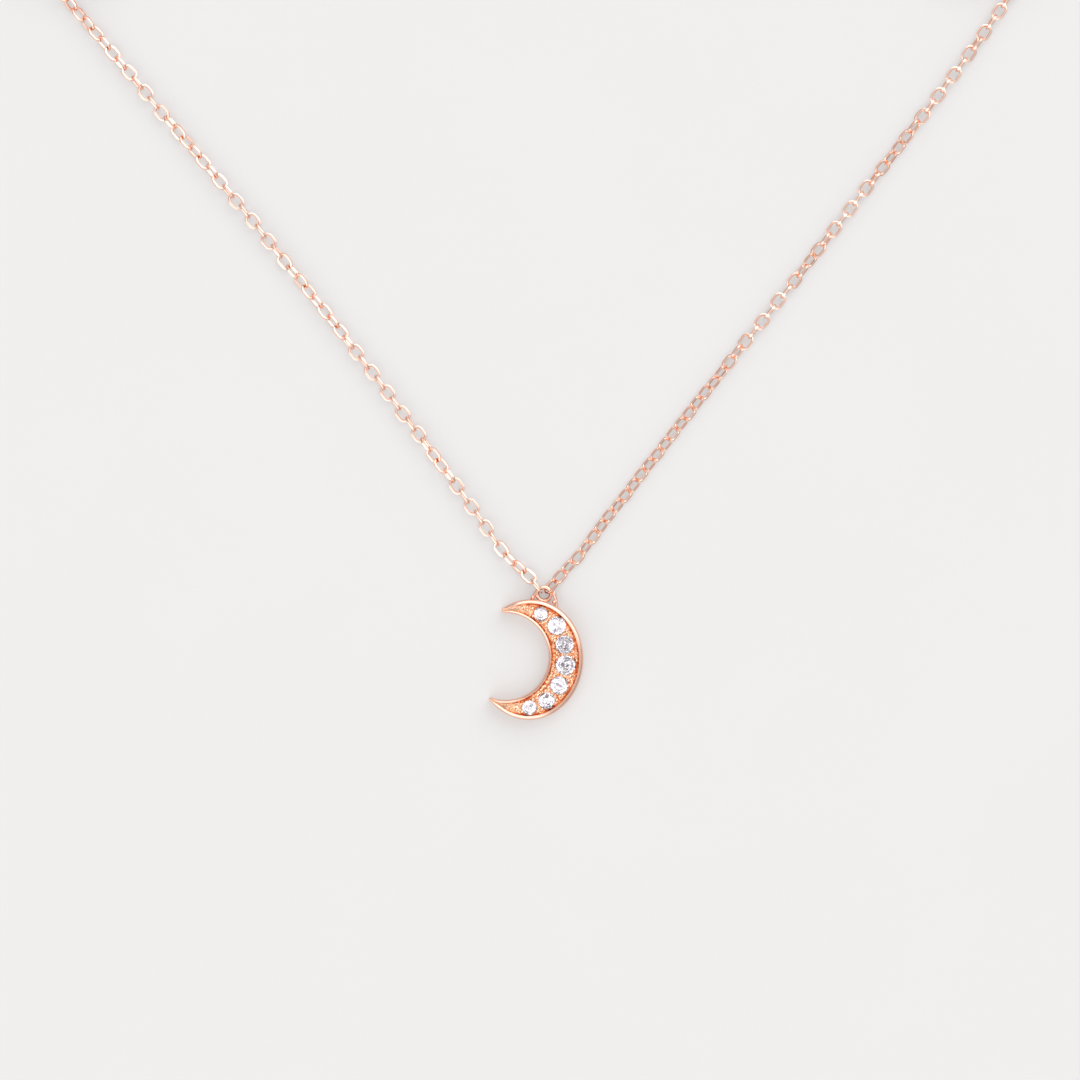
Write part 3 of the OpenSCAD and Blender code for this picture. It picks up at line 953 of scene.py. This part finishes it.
def build_clasp():
    body = solid("spring_ring_body", rounded_arc(CT, 75, 380, 130, 0.05))
    cutters = [solid("cut_a", swept([(74 + 268 * i / 110, circ(TR + TG)) for i in range(111)])),
               solid("cut_b", swept([(352 + 30 * i / 14, circ(TR + TG)) for i in range(15)])),
               solid("cut_c", swept([(84 + 68 * i / 30, [(CR - 0.17, CT), (CR + 0.17, CT), (CR + 0.17, CT + 1), (CR - 0.17, CT + 1)])
                                     for i in range(31)]))]
    for c in cutters:
        md = body.modifiers.new("cut", "BOOLEAN")
        md.operation = "DIFFERENCE"
        md.solver = "EXACT"
        md.object = c
        apply_all(body)
    for c in cutters:
        me = c.data
        bpy.data.objects.remove(c)
        bpy.data.meshes.remove(me)
    body.data.set_sharp_from_angle(angle=math.radians(40))
    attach(body, "clasp")
    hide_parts("clasp_body")
    tongue = solid("spring_ring_tongue", rounded_arc(TR, 10, 160, 70, 0.08))
    tongue.data.materials.clear()
    tongue.data.materials.append(M_TONGUE)
    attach(tongue, "clasp_bolt")
    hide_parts("clasp_tongue")
    # thumb tab: pin with a domed, grooved knob
    a = -30 + 90
    px, py = cp[0] + CR * cosd(a), cp[1] + CR * sind(a)
    prof = [(0.0, CT), (0.12, CT), (0.13, CT + 0.02), (0.13, CT + 0.50), (0.20, CT + 0.52), (0.30, CT + 0.535), (0.335, CT + 0.57),
            (0.34, CT + 0.62), (0.325, CT + 0.68), (0.28, CT + 0.735), (0.20, CT + 0.765), (0.10, CT + 0.778), (0.0, CT + 0.78)]
    V, F = [], []
    n = 48
    for (r, z) in prof[1:-1]:
        for k in range(n):
            b = 2 * PI * k / n
            rr = r
            if r > 0.25:
                rr = r * (1 - 0.035 * (0.5 + 0.5 * math.cos(b * 12)))
            V.append((px + rr * math.cos(b), py + rr * math.sin(b), z))
    m = len(prof) - 2
    for i in range(m - 1):
        for k in range(n):
            l = (k + 1) % n
            F.append((i * n + k, i * n + l, (i + 1) * n + l, (i + 1) * n + k))
    F.append(tuple(range(n - 1, -1, -1)))
    F.append(tuple((m - 1) * n + k for k in range(n)))
    tab = new_object("spring_ring_thumb_tab", V, F, [M_CLASP], True, None, 40)
    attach(tab, "clasp_bolt")
    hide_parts("clasp_thumb_tab")
    # spring behind the tongue: a real coil of wire, in the space of its sleeve
    pts = []
    turns, a0, a1 = 26, 223.5, 339.5
    for i in range(turns * 14 + 1):
        t = i / (turns * 14)
        ph = 2 * PI * turns * t
        aa = a0 + (a1 - a0) * t
        rr = CR + 0.235 * math.cos(ph)
        pts.append((cp[0] + rr * cosd(aa - 30), cp[1] + rr * sind(aa - 30), CT + 0.235 * math.sin(ph)))
    V, F = tube(pts, 0.05, 8)
    sp = new_object("spring_ring_coil", V, F, [M_SPRING], True)
    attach(sp, "clasp")
    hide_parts("clasp_spring")
    return body, tongue, tab, sp


clasp = build_clasp()


for side, pieces in (("left", [end_l, tail_l, jump, loop, *clasp]), ("right", [end_r, tail_r, catch])):
    ob, path, total, end = chains[side]

# ------------------------------------------------------------------ floor and light
def build_stage():
    me = bpy.data.meshes.new("floor")
    s = 1.2
    me.from_pydata([(-s, -s, 0), (s, -s, 0), (s, s, 0), (-s, s, 0)], [], [(0, 1, 2, 3)])
    ob = bpy.data.objects.new("floor", me)
    scene.collection.objects.link(ob)
    m, nt, b = material("pale_floor")
    n = noise_tex(nt, 40, 4.0, 0.6)
    cr = nt.nodes.new("ShaderNodeValToRGB")
    cr.color_ramp.elements[0].color = (0.380, 0.378, 0.378, 1)
    cr.color_ramp.elements[1].color = (0.396, 0.393, 0.393, 1)
    nt.links.new(n.outputs["Fac"], cr.inputs["Fac"])
    nt.links.new(cr.outputs["Color"], b.inputs["Base Color"])
    b.inputs["Roughness"].default_value = 0.55
    b.inputs["Specular Level" if "Specular Level" in b.inputs else "Specular IOR Level"].default_value = 0.25
    b.inputs["Emission Color"].default_value = (1.0, 0.992, 0.988, 1)
    b.inputs["Emission Strength"].default_value = 0.325
    me.materials.append(m)


build_stage()


def area(name, loc, target, size, power, color=(1, 1, 1), size_y=None):
    ld = bpy.data.lights.new(name, "AREA")
    ld.shape = "RECTANGLE" if size_y else "SQUARE"
    ld.size = size
    if size_y:
        ld.size_y = size_y
    ld.energy = power
    ld.color = color
    ob = bpy.data.objects.new(name, ld)
    ob.location = loc
    d = Vector(target) - Vector(loc)
    ob.rotation_euler = d.to_track_quat("-Z", "Y").to_euler()
    scene.collection.objects.link(ob)
    return ob


area("key_softbox", (0.40, 0.72, 0.72), (0, 0.01, 0), 0.60, 1.3, (1.0, 0.995, 0.99))
area("fill_softbox", (-0.42, -0.62, 0.62), (0, 0.01, 0), 0.60, 0.5, (1.0, 0.995, 0.99))

# a light tent: bright panels on two opposite sides, unlit gaps between them, a dimmer top
world = bpy.data.worlds.new("studio")
scene.world = world
world.use_nodes = True
wt = world.node_tree
bg = wt.nodes.get("Background") or wt.nodes.new("ShaderNodeBackground")
tc = wt.nodes.new("ShaderNodeTexCoord")
sep = wt.nodes.new("ShaderNodeSeparateXYZ")
wt.links.new(tc.outputs["Generated"], sep.inputs["Vector"])


def wmath(op, a, b=None, clamp=False):
    n = wt.nodes.new("ShaderNodeMath")
    n.operation = op
    n.use_clamp = clamp
    for i, v in enumerate((a, b)):
        if v is None:
            continue
        if isinstance(v, (int, float)):
            n.inputs[i].default_value = float(v)
        else:
            wt.links.new(v, n.inputs[i])
    return n.outputs["Value"]


TENT = 62.0
ax = wmath("MULTIPLY", sep.outputs["X"], cosd(TENT))
ay = wmath("MULTIPLY", sep.outputs["Y"], sind(TENT))
along = wmath("ABSOLUTE", wmath("ADD", ax, ay))
xx = wmath("MULTIPLY", sep.outputs["X"], sep.outputs["X"])
yy = wmath("MULTIPLY", sep.outputs["Y"], sep.outputs["Y"])
flat_len = wmath("SQRT", wmath("ADD", wmath("ADD", xx, yy), 0.0001))
ratio = wmath("DIVIDE", along, flat_len, True)
panel = wt.nodes.new("ShaderNodeValToRGB")
panel.color_ramp.interpolation = "EASE"
els = panel.color_ramp.elements
els[0].position, els[0].color = 0.20, (0.68, 0.67, 0.665, 1)
els[1].position, els[1].color = 0.80, (2.0, 1.99, 1.98, 1)
e = els.new(0.55)
e.color = (0.82, 0.81, 0.805, 1)
wt.links.new(ratio, panel.inputs["Fac"])
top = wt.nodes.new("ShaderNodeMapRange")
top.inputs["From Min"].default_value = 0.91
top.inputs["From Max"].default_value = 0.985
top.interpolation_type = "SMOOTHSTEP"
wt.links.new(sep.outputs["Z"], top.inputs["Value"])
mix = wt.nodes.new("ShaderNodeMix")
mix.data_type = "RGBA"
wt.links.new(top.outputs["Result"], mix.inputs["Factor"])
wt.links.new(panel.outputs["Color"], mix.inputs[6])
mix.inputs[7].default_value = (0.95, 0.945, 0.94, 1)
wt.links.new(mix.outputs[2], bg.inputs["Color"])
# the tent stands on an unlit skirt, which draws the thin brown outlines on the wire
skirt = wt.nodes.new("ShaderNodeMapRange")
skirt.interpolation_type = "SMOOTHSTEP"
skirt.inputs["From Min"].default_value = 0.24
skirt.inputs["From Max"].default_value = 0.40
skirt.inputs["To Min"].default_value = 0.50
skirt.inputs["To Max"].default_value = 1.0
wt.links.new(sep.outputs["Z"], skirt.inputs["Value"])
wt.links.new(skirt.outputs["Result"], bg.inputs["Strength"])

scene.view_settings.view_transform = "Standard"
scene.view_settings.look = "None"
scene.view_settings.exposure = 0.0
scene.view_settings.gamma = 1.0
